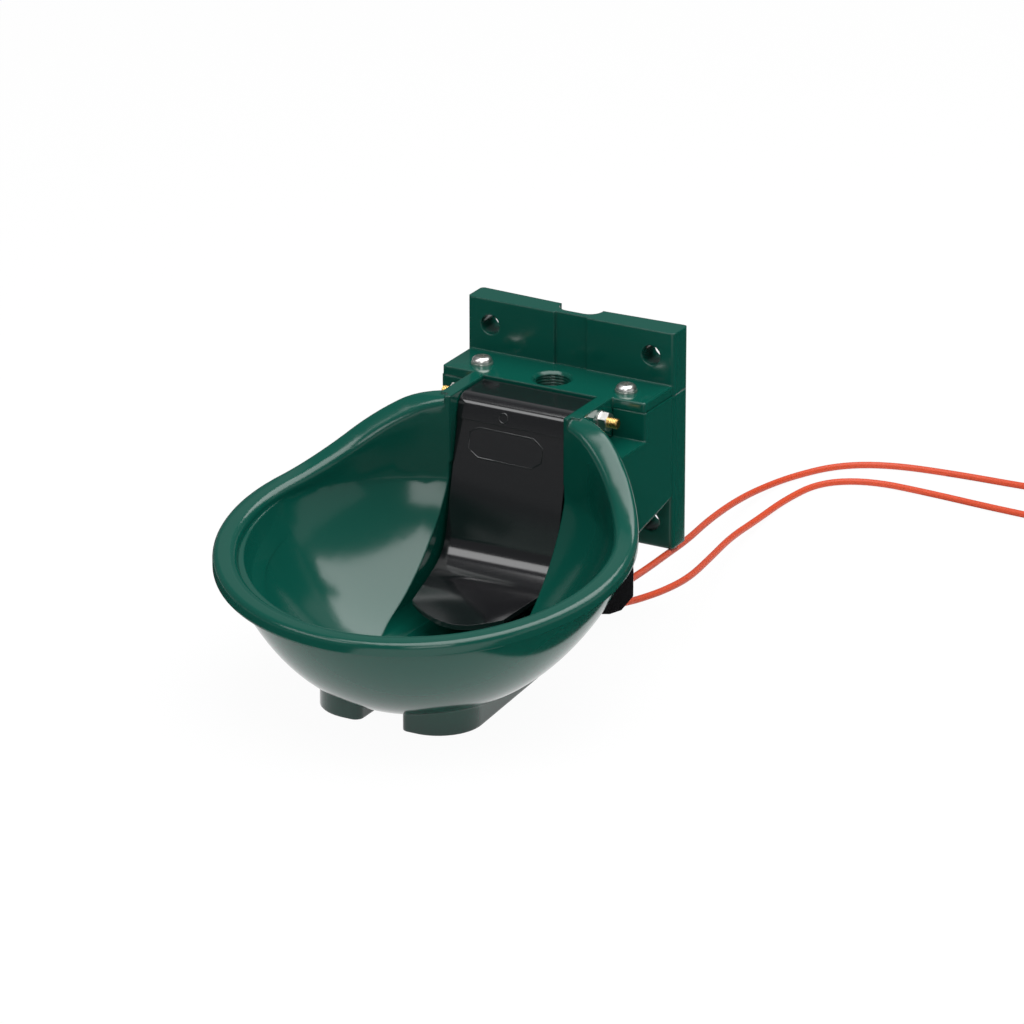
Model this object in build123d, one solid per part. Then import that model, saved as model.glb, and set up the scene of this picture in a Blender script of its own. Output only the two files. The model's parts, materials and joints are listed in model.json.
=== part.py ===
from build123d import *
import os
from math import atan2, cos, degrees, pi, radians, sin, sqrt, tan

# Heated livestock drinking bowl with a push-tongue valve.
# Frame: +X right and +Y towards the wall, seen from the bowl's front, +Z up.
# The origin is the middle of the footprint box, on the surface that the feet stand on.

# ---- driving sizes, in millimetres ----
deck_height = 140.0          # feet to the top of the valve deck
bowl_half_width = 120.0      # rim, middle to outer edge, left and right
bowl_half_depth = 112.5      # rim, middle to outer edge, front and back
wall_to_bowl = 185.0         # wall face to the middle of the bowl

# wall plate
plate_width = 134.0
plate_thickness = 17.0
plate_rise = 31.5            # above the deck
plate_drop = 99.5            # below the deck
plate_round = 2.5
wall_hollow = 2.8            # the back is this much deeper in the middle than at its edges
wall_hole_spacing_x = 104.4
wall_hole_spacing_z = 101.0
wall_hole_rise = 16.3        # upper holes above the deck
wall_hole_radius = 6.0
pipe_groove_width = 27.0
pipe_groove_depth = 11.5
pipe_recess_width = 20.5
pipe_recess_depth = 1.5

# deck and housing
deck_width = 131.2
deck_depth = 32.4
deck_thickness = 6.0
deck_round = 2.0
housing_width = 132.4
housing_wall = 3.5
housing_drop = 67.5          # deck to the housing's underside at the wall plate
housing_slant = 6.5          # and this much lower where it meets the bowl
pocket_drop = 23.0           # deck to the shelf beside the cheeks
shelf_thickness = 3.0

# cheeks, trough and pin
trough_half_width = 36.5
trough_spread = 3.5          # wider by this much on each side at its floor
trough_wall = 3.2
trough_back = 35.5           # wall plate's front to the trough's back face
trough_floor_drop = 123.6
trough_front_slope = 0.7
trough_front = 30.0          # its floor ends this far in front of the bowl's middle
trough_back_round = 38.0
trough_corner_round = 12.0
trough_front_round = 60.0
trough_cover_wall = 2.5
cheek_thickness = 8.2
cheek_drop = 40.0
pin_back = 47.0              # wall plate's front to the tongue's pin
pin_drop = 9.0
pin_radius = 3.0
pin_end = 56.5               # middle to each end of the pin
pin_clearance = 0.06

# rim
rim_thickness = 7.5
rim_outer_round = 3.6
rim_inner_round = 5.0
rim_under_round = 1.6
skirt_height = 3.0
skirt_wall = 3.4
shoulder_back = 95.0         # the rim leaves deck level this far behind the bowl's middle
dip_back = 53.0              # and levels out this far behind it
dip_drop = 38.0
front_drop = 65.0
shoulder_round = 26.0
dip_round = 75.0

# bowl and shell, as one profile that is set in and lifted for each surface
rim_overhang = 7.6           # the rim stands out this far past the shell
shell_full_drop = 59.6       # deck to where the shell reaches its full radius
shell_depth = 78.4           # from there to where its curve would close
shell_power = 1.2
shell_roundness = 2.44
shell_floor_drop = 133.0
shell_centre_shift = 8.0     # the shell's floor lies this much further from the wall
shell_sections = 6
shell_inside = (2.5, 3.0)    # set in and lifted
bowl_outside = (3.6, 7.0)
bowl_inside = (6.6, 10.0)
seam_gap = 0.3

# feet
foot_inner_x = 13.0
foot_front_x = 51.0
foot_back_x = 42.0
foot_front = 52.0            # in front of the bowl's middle
foot_back = 84.0             # behind it
foot_wall = 3.0
foot_front_round = 26.0
foot_small_round = 5.0
foot_back_round = 8.0
foot_height = 56.0
foot_rib_spacing = 32.0

# inlet and valve
inlet_back = 21.5            # wall plate's front to the inlet's middle
inlet_radius = 10.48         # G 1/2 major diameter 20.96
inlet_chamfer = 1.6
inlet_boss_radius = 14.0
inlet_boss_length = 24.0
inlet_bore_length = 15.0
valve_drop = 42.0
barrel_radius = 9.0
barrel_bore = 6.0
barrel_back = 9.0            # wall plate's front to the barrel's back end
barrel_front = 47.0
collar_radius = 12.0
collar_length = 3.0
stub_radius = 9.0
stub_bore = 6.0
seat_radius = 3.6
seat_back = 32.0
seat_length = 3.0
gasket_thickness = 1.5
valve_nut_flats = 24.0
valve_nut_length = 5.0
stem_radius = 2.5
stem_clearance = 0.06
seal_gap = 0.3
spring_gap = 0.3
outlet_radius = 1.3
outlet_circle = 4.0
stem_gap = 0.35              # between the stem and the tongue at rest
head_radius = 5.4
head_length = 2.5
seal_thickness = 1.6
spring_radius = 4.2
spring_wire = 0.5
spring_turns = 5
plug_flats = 13.0
plug_length = 4.0
plug_spigot = 5.0
strainer_flange_radius = 9.0
strainer_hole = 0.9
inlet_gasket_bore = 7.0
inlet_gasket_thickness = 2.5
strainer_radius = 5.6
strainer_depth = 7.0
strainer_wall = 0.8

# tongue
tongue_half_width = 35.9
tongue_skin = 3.0
tongue_top_drop = 1.6
tongue_gap = 1.5             # to the trough's back face
tongue_fold_back = 64.1      # wall plate's front to the fold's face
tongue_fold_round = 8.0
tongue_bend_back = 85.0
tongue_bend_drop = 97.0
tongue_bend_round = 24.0
tongue_tip_back = 131.0
tongue_tip_drop = 102.5
tongue_hood_drop = 15.0
tongue_hood_step = 1.3
tongue_panel_half_width = 31.5
tongue_tip_half_width = 29.5
tongue_tip_bulge = 9.0
tongue_dish = 5.0
flange_depth = 17.0
flange_wall = 3.0
flange_drop = 76.0
pin_boss_radius = 6.0
pin_boss_length = 9.0
press_angle = 6.5            # degrees that the animal can press the tongue

# fasteners
m6_head_radius = 6.0
m6_head_height = 3.6
m6_radius = 3.0
deck_screw_spacing = 93.4
deck_screw_back = 19.5
deck_screw_length = 22.0
deck_washer_radius = 6.4
deck_washer_thickness = 1.0
m6_nut_flats = 10.0
m6_nut_height = 5.0
m6_washer_radius = 6.0
m6_washer_thickness = 1.2
boss_radius = 7.0

# heater, gland and leads
heater_radius = 1.25
heater_rows = 6
heater_row_spacing = 8.0
heater_reach = 26.0          # half the length of a row
heater_drop = 128.3
heater_bend = 3.5
lead_radius = 2.0
gland_x = 93.8               # the point of the shell's side that the gland sits on
gland_y = 9.35
gland_turn = 27.5            # direction that it faces, in degrees
gland_half_width = 9.5
gland_outline = ((-16, -58), (11.5, -58), (11.5, -75), (5, -83.5), (-1.6, -86), (-16, -86))
gland_round = 1.2
coil_turn_radius = 23.0
coil_section = 12.0
supply_end_radius = 6.0
supply_end_length = 26.0
trace_end_radius = 3.5
trace_end_length = 24.0
# routes of the two cables' middle lines, from inside the gland to their coils
upper_route = (
    (98.2, 15.2, 67.4),
    (94.3, 28.2, 64.0),
    (80.0, 76.5, 51.0),
    (64.1, 130.7, 37.5),
    (55.4, 173.3, 30.0),
    (40.6, 227.0, 20.0),
    (30.0, 281.0, 11.0),
    (26.0, 322.0, 4.5),
    (31.0, 356.0, 2.0),
    (47.0, 386.0, 2.0),
    (75.0, 402.0, 2.0),
    (118.4, 407.0, 2.0),
    (160.0, 408.5, 2.0),
    (207.0, 406.1, 5.0),
    )
lower_route = (
    (100.6, 7.2, 58.7),
    (99.4, 16.0, 56.2),
    (96.9, 33.0, 51.0),
    (94.4, 68.3, 43.0),
    (86.8, 114.6, 33.0),
    (70.8, 172.0, 22.0),
    (55.2, 228.0, 12.0),
    (47.0, 277.0, 4.0),
    (44.5, 320.0, 2.0),
    (50.0, 355.0, 2.0),
    (75.3, 372.0, 2.0),
    (116.2, 371.0, 2.0),
    (160.0, 367.5, 2.0),
    (205.0, 364.0, 3.0),
    (250.0, 361.9, 5.0),
    )
coil_end_offset = 10.0       # from a coil's middle to its end piece, along Y
upper_coil = (207.0, 433.0)
lower_coil = (250.0, 335.0)

# ---- places worked out from them ----
back_y = (wall_to_bowl + bowl_half_depth) / 2
bowl_y = back_y - wall_to_bowl
front_y = back_y - plate_thickness
deck_z = deck_height
plate_top = deck_z + plate_rise
plate_bottom = deck_z - plate_drop
squash = bowl_half_depth / bowl_half_width
shell_radius = bowl_half_width - rim_overhang
pin_y = front_y - pin_back
pin_z = deck_z - pin_drop
valve_z = deck_z - valve_drop
inlet_y = front_y - inlet_back
far = 400.0                  # longer than anything that is cut


def block(x0, x1, y0, y1, z0, z1):
    """A box between two corners."""
    box = Box(x1 - x0, y1 - y0, z1 - z0, align=(Align.MIN, Align.MIN, Align.MIN))
    return Pos(x0, y0, z0) * box


def side_shape(points, x0, x1, radius=0.0):
    """A closed outline in the YZ plane, with rounded corners, pulled along X."""
    outline = FilletPolyline(*points, radius=radius, close=True)
    return Pos(x0, 0, 0) * extrude(Plane.YZ * make_face(outline), x1 - x0)


def along_y(radius, y0, y1, x, z):
    """A round bar along Y."""
    bar = Cylinder(radius, y1 - y0, align=(Align.CENTER, Align.CENTER, Align.MIN))
    return Pos(x, y0, z) * Rot(-90, 0, 0) * bar


def along_x(radius, x0, x1, y, z):
    """A round bar along X."""
    bar = Cylinder(radius, x1 - x0, align=(Align.CENTER, Align.CENTER, Align.MIN))
    return Pos(x0, y, z) * Rot(0, 90, 0) * bar


def upright(radius, z0, z1, x, y):
    """A round bar along Z."""
    bar = Cylinder(radius, z1 - z0, align=(Align.CENTER, Align.CENTER, Align.MIN))
    return Pos(x, y, z0) * bar


def hexagon(flats, height, bore):
    """A nut with chamfered corners, its underside on XY."""
    nut = extrude(RegularPolygon(flats / 2, 6, major_radius=False), height)
    dome = Cone(flats * 0.5, flats * 0.5 + height * 1.7, height, align=(Align.CENTER, Align.CENTER, Align.MIN))
    crown = Pos(0, 0, height) * Rot(180, 0, 0) * dome
    return (nut & crown) - Cylinder(bore, 4 * height)


# ---- rim line and bowl surfaces ----

def rim_corners():
    """The rim line's corners seen from the side, from the wall to the front."""
    return [
        Vector(bowl_y + far, deck_z),
        Vector(bowl_y + shoulder_back, deck_z),
        Vector(bowl_y + dip_back, deck_z - dip_drop),
        Vector(bowl_y - bowl_half_depth, deck_z - front_drop),
        ]


def under_rim(drop):
    """All that lies lower than the rim line by more than drop, square to the line."""
    corners = rim_corners()
    runs = [(b - a).normalized() for a, b in zip(corners, corners[1:])]
    runs.append(runs[-1])
    downs = [Vector(-run.Y, run.X) for run in runs]
    line = [corners[0] + downs[0] * drop]
    for corner, a, b in zip(corners[1:], downs, downs[1:]):
        line.append(corner + (a + b) * (drop / (1 + a.dot(b))))
    line[-1] = line[-1] + runs[-1] * 40
    edge = FilletPolyline(*line, radius=(shoulder_round - drop, dip_round + drop))
    close = Polyline(line[-1], (line[-1].X, -far), (line[0].X, -far), line[0])
    face = make_face(Plane.YZ * (edge + close))
    return Pos(-far, 0, 0) * extrude(face, 2 * far, dir=(1, 0, 0))


def oval_face(half_width, ratio):
    """A flat oval, whose edge starts at the same end whichever way it is longer."""
    if squash > 1:
        return Rot(0, 0, 90) * Ellipse(half_width * ratio, half_width)
    return Ellipse(half_width, half_width * ratio)


def oval(half_width, ratio, centre_y, z0, z1):
    """An upright oval bar."""
    return Pos(0, centre_y, z0) * extrude(oval_face(half_width, ratio), z1 - z0)


def shell_half_width(drop):
    """Half the shell's width at a distance below the deck."""
    climb = min((shell_full_drop + shell_depth - drop) / shell_depth, 1)
    return shell_radius * (1 - (1 - climb) ** shell_power) ** (1 / shell_roundness)


def pot(inset, lift, top_drop=-20.0):
    """The shell's rounded form, set in and lifted, from its floor to above the rim."""
    floor = shell_floor_drop - lift
    full = shell_full_drop - lift
    sections = []
    for i in range(shell_sections):
        share = (1 - cos(pi * i / (shell_sections - 1))) / 2
        drop = floor + (full - floor) * share
        half = shell_half_width(drop + lift) - inset
        ratio = 1 - (1 - squash) * share
        centre = bowl_y - shell_centre_shift * (1 - share)
        sections.append(Pos(0, centre, deck_z - drop) * oval_face(half, ratio))
    form = loft(sections)
    neck = oval(shell_radius - inset, squash, bowl_y, deck_z - full, deck_z - top_drop)
    return form + neck


def rim_band():
    """The rolled rim with the short skirt that meets the shell."""
    mouth = shell_radius - bowl_inside[0]
    low = deck_z - front_drop - 40
    high = deck_z + 20
    outside = Pos(0, bowl_y, low) * extrude(oval_face(bowl_half_width, squash), high - low)
    ring = (outside - oval(mouth, squash, bowl_y, low, high)) & under_rim(0)
    top = [e for e in ring.edges() if e.geom_type != GeomType.LINE and e.center().Z > low + 1]
    middle = (bowl_half_width + mouth) / 2
    reach = [sqrt((e @ 0.5).X ** 2 + (((e @ 0.5).Y - bowl_y) / squash) ** 2) for e in top]
    ring = fillet([e for e, r in zip(top, reach) if r > middle], rim_outer_round)
    top = [e for e in ring.edges() if e.geom_type != GeomType.LINE and e.center().Z > low + 1]
    reach = [sqrt((e @ 0.5).X ** 2 + (((e @ 0.5).Y - bowl_y) / squash) ** 2) for e in top]
    ring = fillet([e for e, r in zip(top, reach) if r < mouth + 0.5], rim_inner_round)
    ring = ring - under_rim(rim_thickness)
    skirt = oval(shell_radius + 1, squash, bowl_y, low, high)
    skirt -= oval(shell_radius + 1 - skirt_wall, squash, bowl_y, low - 1, high + 1)
    skirt = (skirt & under_rim(rim_thickness - 1)) - under_rim(rim_thickness + skirt_height)
    return ring + skirt


# ---- pieces of the two mouldings ----

def plate_plan():
    """The wall plate seen from above: hollow back, pipe groove and front recess."""
    half = plate_width / 2
    corners = [
        (-half, front_y),
        (half, front_y),
        (half, back_y),
        (0, back_y - wall_hollow),
        (-half, back_y),
        ]
    radii = (plate_round, plate_round, plate_round, 0, plate_round)
    plan = make_face(FilletPolyline(*corners, radius=radii, close=True))
    groove = RectangleRounded(pipe_groove_width, 2 * pipe_groove_depth, pipe_groove_width * 0.3)
    recess = Rectangle(pipe_recess_width, 2 * pipe_recess_depth)
    return plan - Pos(0, back_y) * groove - Pos(0, front_y) * recess


def wall_plate(z0, z1):
    """The wall plate between two heights."""
    return Pos(0, 0, z0) * extrude(plate_plan(), z1 - z0)


def wall_holes():
    """The four bolt holes through the plate."""
    holes = []
    for x in (-wall_hole_spacing_x / 2, wall_hole_spacing_x / 2):
        for rise in (wall_hole_rise, wall_hole_rise - wall_hole_spacing_z):
            holes.append(along_y(wall_hole_radius, front_y - 5, back_y + 5, x, deck_z + rise))
    return Compound(holes)


def trough_form(grow, front_rise=70.0):
    """The trough's space, or with grow the block that its walls are cut from."""
    back = front_y - trough_back + grow
    floor = deck_z - trough_floor_drop - grow
    front = bowl_y - trough_front
    side = side_shape(
        [
            (back, deck_z + 30),
            (back, floor),
            (front, floor),
            (front - trough_front_slope * front_rise, floor + front_rise),
            (front - trough_front_slope * front_rise, deck_z + 30),
            ],
        -far,
        far,
        radius=(0, trough_back_round + grow, trough_front_round + grow, 0, 0),
        )
    top = trough_half_width + grow
    low = top + trough_spread
    corner = trough_corner_round + grow
    front_view = FilletPolyline(
        (-top, deck_z + 40),
        (-top, deck_z - pocket_drop),
        (-low, floor),
        (low, floor),
        (top, deck_z - pocket_drop),
        (top, deck_z + 40),
        radius=(0, 0, corner, corner, 0, 0),
        close=True,
        )
    walls = extrude(Plane.XZ * make_face(front_view), far, both=True)
    return side & walls


def cheek(side):
    """The wall between the tongue and the pocket, which carries one end of the pin."""
    inner = trough_half_width - 1
    outer = trough_half_width + cheek_thickness
    crest = (bowl_half_width + shell_radius - bowl_inside[0]) / 2
    reach = squash * sqrt(crest ** 2 - outer ** 2)
    back = front_y - deck_depth + 2
    upper = block(inner, outer, bowl_y + reach, back, deck_z - cheek_drop, deck_z)
    lower = block(inner, outer, bowl_y + reach - 20, back, deck_z - cheek_drop, deck_z - rim_thickness)
    wall = upper + (lower - pot(*bowl_inside))
    if side < 0:
        wall = mirror(wall, Plane.YZ)
    return wall


def deck_slab():
    """The flat deck, rounded at its rim, with the lip behind the tongue."""
    front = front_y - deck_depth
    slab = block(-deck_width / 2, deck_width / 2, front, front_y + 1, deck_z - deck_thickness, deck_z)
    corners = [e for e in slab.edges().filter_by(Axis.Z) if e.center().Y < front + 1]
    slab = fillet(corners, deck_round)
    top = slab.faces().sort_by(Axis.Z)[-1].edges()
    slab = fillet([e for e in top if e.center().Y < front_y], deck_round / 2)
    half = trough_half_width + cheek_thickness
    lip = block(-half, half, front_y - trough_back, front_y, deck_z - deck_thickness, deck_z)
    return slab + lip


def upper_body():
    """Bowl, rim, cheeks, trough, deck and the upper part of the wall plate in one moulding."""
    body = rim_band()
    body += (pot(*bowl_outside) - pot(*bowl_inside)) & under_rim(rim_inner_round + 1)
    channel = trough_form(trough_wall) - pot(*bowl_inside)
    behind = block(-far, far, bowl_y, far, 0, deck_z)
    channel = channel & (behind + (pot(*bowl_outside) & block(-far, far, -far, bowl_y + 1, 0, deck_z)))
    body += channel
    body -= trough_form(0)
    body += cheek(1) + cheek(-1)
    body += deck_slab()
    body += wall_plate(deck_z - deck_thickness, plate_top)
    body += upright(inlet_boss_radius, deck_z - inlet_boss_length, deck_z - 1, 0, inlet_y)
    body -= trough_form(0) & block(-trough_half_width, trough_half_width, -far, far, 0, 2 * far)
    body -= inlet_bore()
    body -= along_y(barrel_radius + 0.3, front_y - trough_back - 5, front_y - trough_back + 8, 0, valve_z)
    body -= wall_holes()
    body -= along_x(pin_radius + pin_clearance, -pin_end, pin_end, pin_y, pin_z)
    for side in (-1, 1):
        x = side * deck_screw_spacing / 2
        body -= upright(m6_radius + 0.3, deck_z - 20, deck_z + 5, x, front_y - deck_screw_back)
    return body


def inlet_bore():
    """The inlet thread's bore, its chamfer and the seat for the valve's stub."""
    bore = upright(inlet_radius, deck_z - inlet_bore_length, deck_z + 5, 0, inlet_y)
    bore += upright(stub_radius + 0.1, deck_z - inlet_boss_length - 5, deck_z, 0, inlet_y)
    wide = inlet_radius + inlet_chamfer
    cone = Cone(inlet_radius, wide, inlet_chamfer, align=(Align.CENTER, Align.CENTER, Align.MAX))
    return bore + Pos(0, inlet_y, deck_z) * cone


def housing_side(grow):
    """The housing's outline seen from the side, or its inside with a negative grow."""
    seam = deck_z - deck_thickness
    front = front_y - deck_depth - grow
    shelf = deck_z - pocket_drop + (grow if grow == 0 else -shelf_thickness)
    end = bowl_y + dip_back
    low = deck_z - housing_drop - grow
    run = front_y - end
    slant = housing_slant * run / (front_y - front)
    lift = 0 if grow == 0 else far
    return [
        (front_y + 1 + grow, seam + lift),
        (front_y + 1 + grow, low),
        (end, low - slant),
        (end, shelf),
        (front, shelf),
        (front, seam + lift),
        ]


def housing_block():
    """The box that carries the deck and the shelves beside the cheeks."""
    half = housing_width / 2
    box = side_shape(housing_side(0), -half, half)
    corners = [e for e in box.edges().filter_by(Axis.Z) if e.center().Y < front_y - 1]
    front = [e for e in corners if abs(e.center().Y - (front_y - deck_depth)) < 1]
    box = fillet(front, deck_round)
    shelf_end = bowl_y + squash * sqrt(bowl_half_width ** 2 - half ** 2) + 4
    cover = rim_thickness + skirt_height + seam_gap
    below_rim = under_rim(cover) & block(-far, far, -far, shelf_end, -far, far)
    return box & (below_rim + block(-far, far, shelf_end, far, -far, far))


def housing_hollow():
    """The space inside the housing, open to the cheeks and the trough."""
    half = housing_width / 2 - housing_wall
    room = side_shape(housing_side(-housing_wall), -half, half)
    mouth = trough_half_width + cheek_thickness + seam_gap
    back = front_y - deck_depth + housing_wall + 1
    room += block(-mouth, mouth, bowl_y + dip_back, back, deck_z - housing_drop + housing_wall, far)
    return room


def screw_boss(side):
    """The post under the deck that a deck screw bites into."""
    x = side * deck_screw_spacing / 2
    y = front_y - deck_screw_back
    low = deck_z - pocket_drop - shelf_thickness
    post = upright(boss_radius, low, deck_z - deck_thickness, x, y)
    rib = block(x - 1.5, x + 1.5, front_y - deck_depth + 1, y, low, deck_z - deck_thickness)
    return post + rib


def foot(side):
    """A curved skirt foot, open below, with cross ribs."""
    corners = [
        (foot_inner_x, bowl_y + foot_back),
        (foot_inner_x, bowl_y - foot_front),
        (foot_front_x, bowl_y - foot_front),
        (foot_back_x, bowl_y + foot_back),
        ]
    radii = (foot_small_round, foot_small_round, foot_front_round, foot_back_round)
    outline = make_face(FilletPolyline(*corners, radius=radii, close=True))
    inside = [
        (foot_inner_x + foot_wall, bowl_y + foot_back - foot_wall),
        (foot_inner_x + foot_wall, bowl_y - foot_front + foot_wall),
        (foot_front_x - foot_wall, bowl_y - foot_front + foot_wall),
        (foot_back_x - foot_wall, bowl_y + foot_back - foot_wall),
        ]
    inner_radii = [r - foot_wall for r in radii]
    inner = make_face(FilletPolyline(*inside, radius=inner_radii, close=True))
    skirt = extrude(outline - inner, foot_height)
    whole = extrude(outline, foot_height)
    ribs = int((foot_back + foot_front) / foot_rib_spacing)
    for i in range(1, ribs + 1):
        y = bowl_y - foot_front + i * (foot_back + foot_front) / (ribs + 1)
        rib = block(0, 2 * foot_front_x, y - foot_wall / 2, y + foot_wall / 2, foot_wall, foot_height)
        skirt += rib & whole
    if side < 0:
        skirt = mirror(skirt, Plane.YZ)
    return skirt


def trough_cover(wall):
    """The space round the trough behind the shell, grown by a wall."""
    top = deck_z - housing_drop + 2 * housing_wall
    room = trough_form(trough_wall + seam_gap + wall)
    return room & block(-far, far, bowl_y, far, 0, top)


def lower_body():
    """Outer shell, housing, lower part of the wall plate and the feet in one moulding."""
    cover = rim_thickness + skirt_height + seam_gap
    form = pot(0, 0) & under_rim(cover)
    body = form + housing_block() + trough_cover(trough_cover_wall)
    body += wall_plate(plate_bottom, deck_z - deck_thickness)
    body += foot(1) + foot(-1)
    body -= pot(*shell_inside)
    body -= housing_hollow()
    body -= trough_cover(0)
    body += screw_boss(1) + screw_boss(-1)
    body -= wall_holes()
    for side in (-1, 1):
        x = side * deck_screw_spacing / 2
        body -= upright(m6_radius, deck_z - deck_screw_length - 3, deck_z, x, front_y - deck_screw_back)
    return body


# ---- tongue ----

def beside(points, distance):
    """An open line of points moved sideways, to the right of its own direction."""
    runs = [(b - a).normalized() for a, b in zip(points, points[1:])]
    sides = [Vector(run.Y, -run.X) for run in runs]
    line = [points[0] + sides[0] * distance]
    for corner, a, b in zip(points[1:], sides, sides[1:]):
        line.append(corner + (a + b) * (distance / (1 + a.dot(b))))
    line.append(points[-1] + sides[-1] * distance)
    return line


def tongue_line():
    """The tongue's upper surface from the wall side to the bend, as (y, z) points."""
    points = [
        (trough_back + tongue_gap, tongue_top_drop),
        (tongue_fold_back, tongue_top_drop),
        (tongue_bend_back, tongue_bend_drop),
        (tongue_tip_back, tongue_tip_drop),
        ]
    return [Vector(front_y - back, deck_z - drop) for back, drop in points]


def tongue_sheet(top_drop, thickness, half_width, z_low):
    """A folded sheet that follows the tongue's line, down to a height."""
    upper = [p for p in beside(tongue_line(), -top_drop)] if top_drop else tongue_line()
    under = beside(tongue_line(), -thickness)
    outline = upper + under[::-1]
    fold = tongue_fold_round
    bend = tongue_bend_round
    radii = (0, fold, bend, 0, 0, bend + thickness, fold - thickness, 0)
    radii = [max(r, 0) for r in radii]
    sheet = side_shape([(p.X, p.Y) for p in outline], -half_width, half_width, radius=radii)
    return sheet & block(-far, far, -far, far, z_low, 2 * far)


def spoon_section(y, z, half_width, sag):
    """A curved slice through the spoon."""
    top = ThreePointArc((-half_width, 0), (0, -sag), (half_width, 0))
    low = ThreePointArc(
        (half_width, -tongue_skin), (0, -sag - tongue_skin), (-half_width, -tongue_skin)
        )
    sides = Line(top @ 1, low @ 0) + Line(low @ 1, top @ 0)
    return Pos(0, y, z) * Rot(90, 0, 0) * make_face(top + low + sides)


def tongue():
    """The push tongue, with side flanges that turn on the pin."""
    line = tongue_line()
    start = line[3] + (line[2] - line[3]) * 0.6
    tip = line[3]
    beyond = tip + (tip - line[2]).normalized() * (tongue_tip_bulge + 3)
    sheet = tongue_sheet(0, tongue_skin, tongue_half_width, 0)
    sheet -= block(-far, far, -far, start.X, -far, far)
    spoon = loft(
        [
            spoon_section(start.X, start.Y, tongue_half_width, 0.05),
            spoon_section(tip.X, tip.Y, tongue_tip_half_width + 2, tongue_dish * 0.6),
            spoon_section(beyond.X, beyond.Y, tongue_tip_half_width + 1, tongue_dish),
            ]
        )
    plan = make_face(
        Polyline(
            (-tongue_tip_half_width, tip.X),
            (-tongue_half_width, line[2].X - 12),
            (-tongue_half_width, line[0].X + 5),
            (tongue_half_width, line[0].X + 5),
            (tongue_half_width, line[2].X - 12),
            (tongue_tip_half_width, tip.X),
            )
        + ThreePointArc(
            (tongue_tip_half_width, tip.X),
            (0, tip.X - tongue_tip_bulge),
            (-tongue_tip_half_width, tip.X),
            )
        )
    body = (sheet + spoon) & extrude(plan, far)
    body += flange(1) + flange(-1)
    hood = tongue_sheet(0, tongue_hood_step + 0.5, tongue_half_width, deck_z - tongue_hood_drop)
    body += hood.moved(Pos(0, -tongue_hood_step * 0.9, 0)) & block(
        -tongue_half_width, tongue_half_width, line[1].X - 10, line[1].X + 3, 0, line[0].Y
        )
    body -= along_x(pin_radius + pin_clearance, -far, far, pin_y, pin_z)
    return body


def flange(side):
    """One side wall of the tongue and its boss round the pin."""
    line = tongue_line()
    low = deck_z - flange_drop
    slope = (line[2].X - line[1].X) / (line[2].Y - line[1].Y)
    foot_y = line[1].X + slope * (low - line[1].Y)
    points = [
        (line[0].X, line[0].Y - 0.5),
        (line[1].X + tongue_fold_round, line[0].Y - 0.5),
        (line[1].X + 0.5, line[1].Y - tongue_fold_round),
        (foot_y + 0.5, low),
        (foot_y + flange_depth, low + 6),
        (line[1].X + flange_depth, deck_z - 3 * pin_drop),
        (line[0].X, deck_z - 2 * pin_drop),
        ]
    radii = (0, 0, 0, 0, 5, 12, 4)
    outer = tongue_half_width
    web = side_shape(points, outer - flange_wall, outer, radius=radii)
    web += along_x(pin_boss_radius, outer - pin_boss_length, outer, pin_y, pin_z)
    if side < 0:
        web = mirror(web, Plane.YZ)
    return web


# ---- fasteners ----

def both_sides(piece):
    """A piece and its mirror image, as one node."""
    return Compound([piece, mirror(piece, Plane.YZ)])


def tongue_pin():
    rod = along_x(pin_radius, -pin_end, pin_end, pin_y, pin_z)
    return chamfer(rod.edges().filter_by(GeomType.CIRCLE), 0.5)


def pin_washer():
    x = trough_half_width + cheek_thickness
    ring = along_x(m6_washer_radius, x, x + m6_washer_thickness, pin_y, pin_z)
    return ring - along_x(pin_radius, x - 1, x + 5, pin_y, pin_z)


def pin_nut():
    x = trough_half_width + cheek_thickness + m6_washer_thickness
    nut = hexagon(m6_nut_flats, m6_nut_height, pin_radius)
    return Pos(x, pin_y, pin_z) * Rot(0, 90, 0) * nut


def deck_screw():
    x = deck_screw_spacing / 2
    y = front_y - deck_screw_back
    seat = deck_z + deck_washer_thickness
    head = upright(m6_head_radius, seat, seat + m6_head_height, x, y)
    head = fillet(head.edges().sort_by(Axis.Z)[-1], m6_head_height * 0.85)
    slot_depth = m6_head_height * 0.5
    cross = block(-3, 3, -0.6, 0.6, 0, far) + block(-0.6, 0.6, -3, 3, 0, far)
    head -= Pos(x, y, seat + m6_head_height - slot_depth) * cross
    return head + upright(m6_radius, deck_z - deck_screw_length, seat + 0.5, x, y)


def deck_screw_washer():
    x = deck_screw_spacing / 2
    y = front_y - deck_screw_back
    ring = upright(deck_washer_radius, deck_z, deck_z + deck_washer_thickness, x, y)
    return ring - upright(m6_radius, deck_z - 1, deck_z + 5, x, y)


# ---- valve, lying along Y behind the tongue ----

def ring_y(outer, inner, back, front):
    """A ring round the valve's axis, between two distances from the wall plate."""
    y0 = front_y - front
    y1 = front_y - back
    return along_y(outer, y0, y1, 0, valve_z) - along_y(inner, y0 - 1, y1 + 1, 0, valve_z)


stub_top = deck_z - inlet_bore_length - strainer_wall - inlet_gasket_thickness
collar_front = trough_back - trough_wall - gasket_thickness
seal_front = seat_back - seal_gap
head_front = seal_front - seal_thickness
head_back = head_front - head_length
stem_reach = (
    tongue_fold_back
    + (tongue_bend_back - tongue_fold_back)
    * (valve_drop - tongue_top_drop) / (tongue_bend_drop - tongue_top_drop)
    - tongue_skin - stem_gap - 0.5
    )


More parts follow.
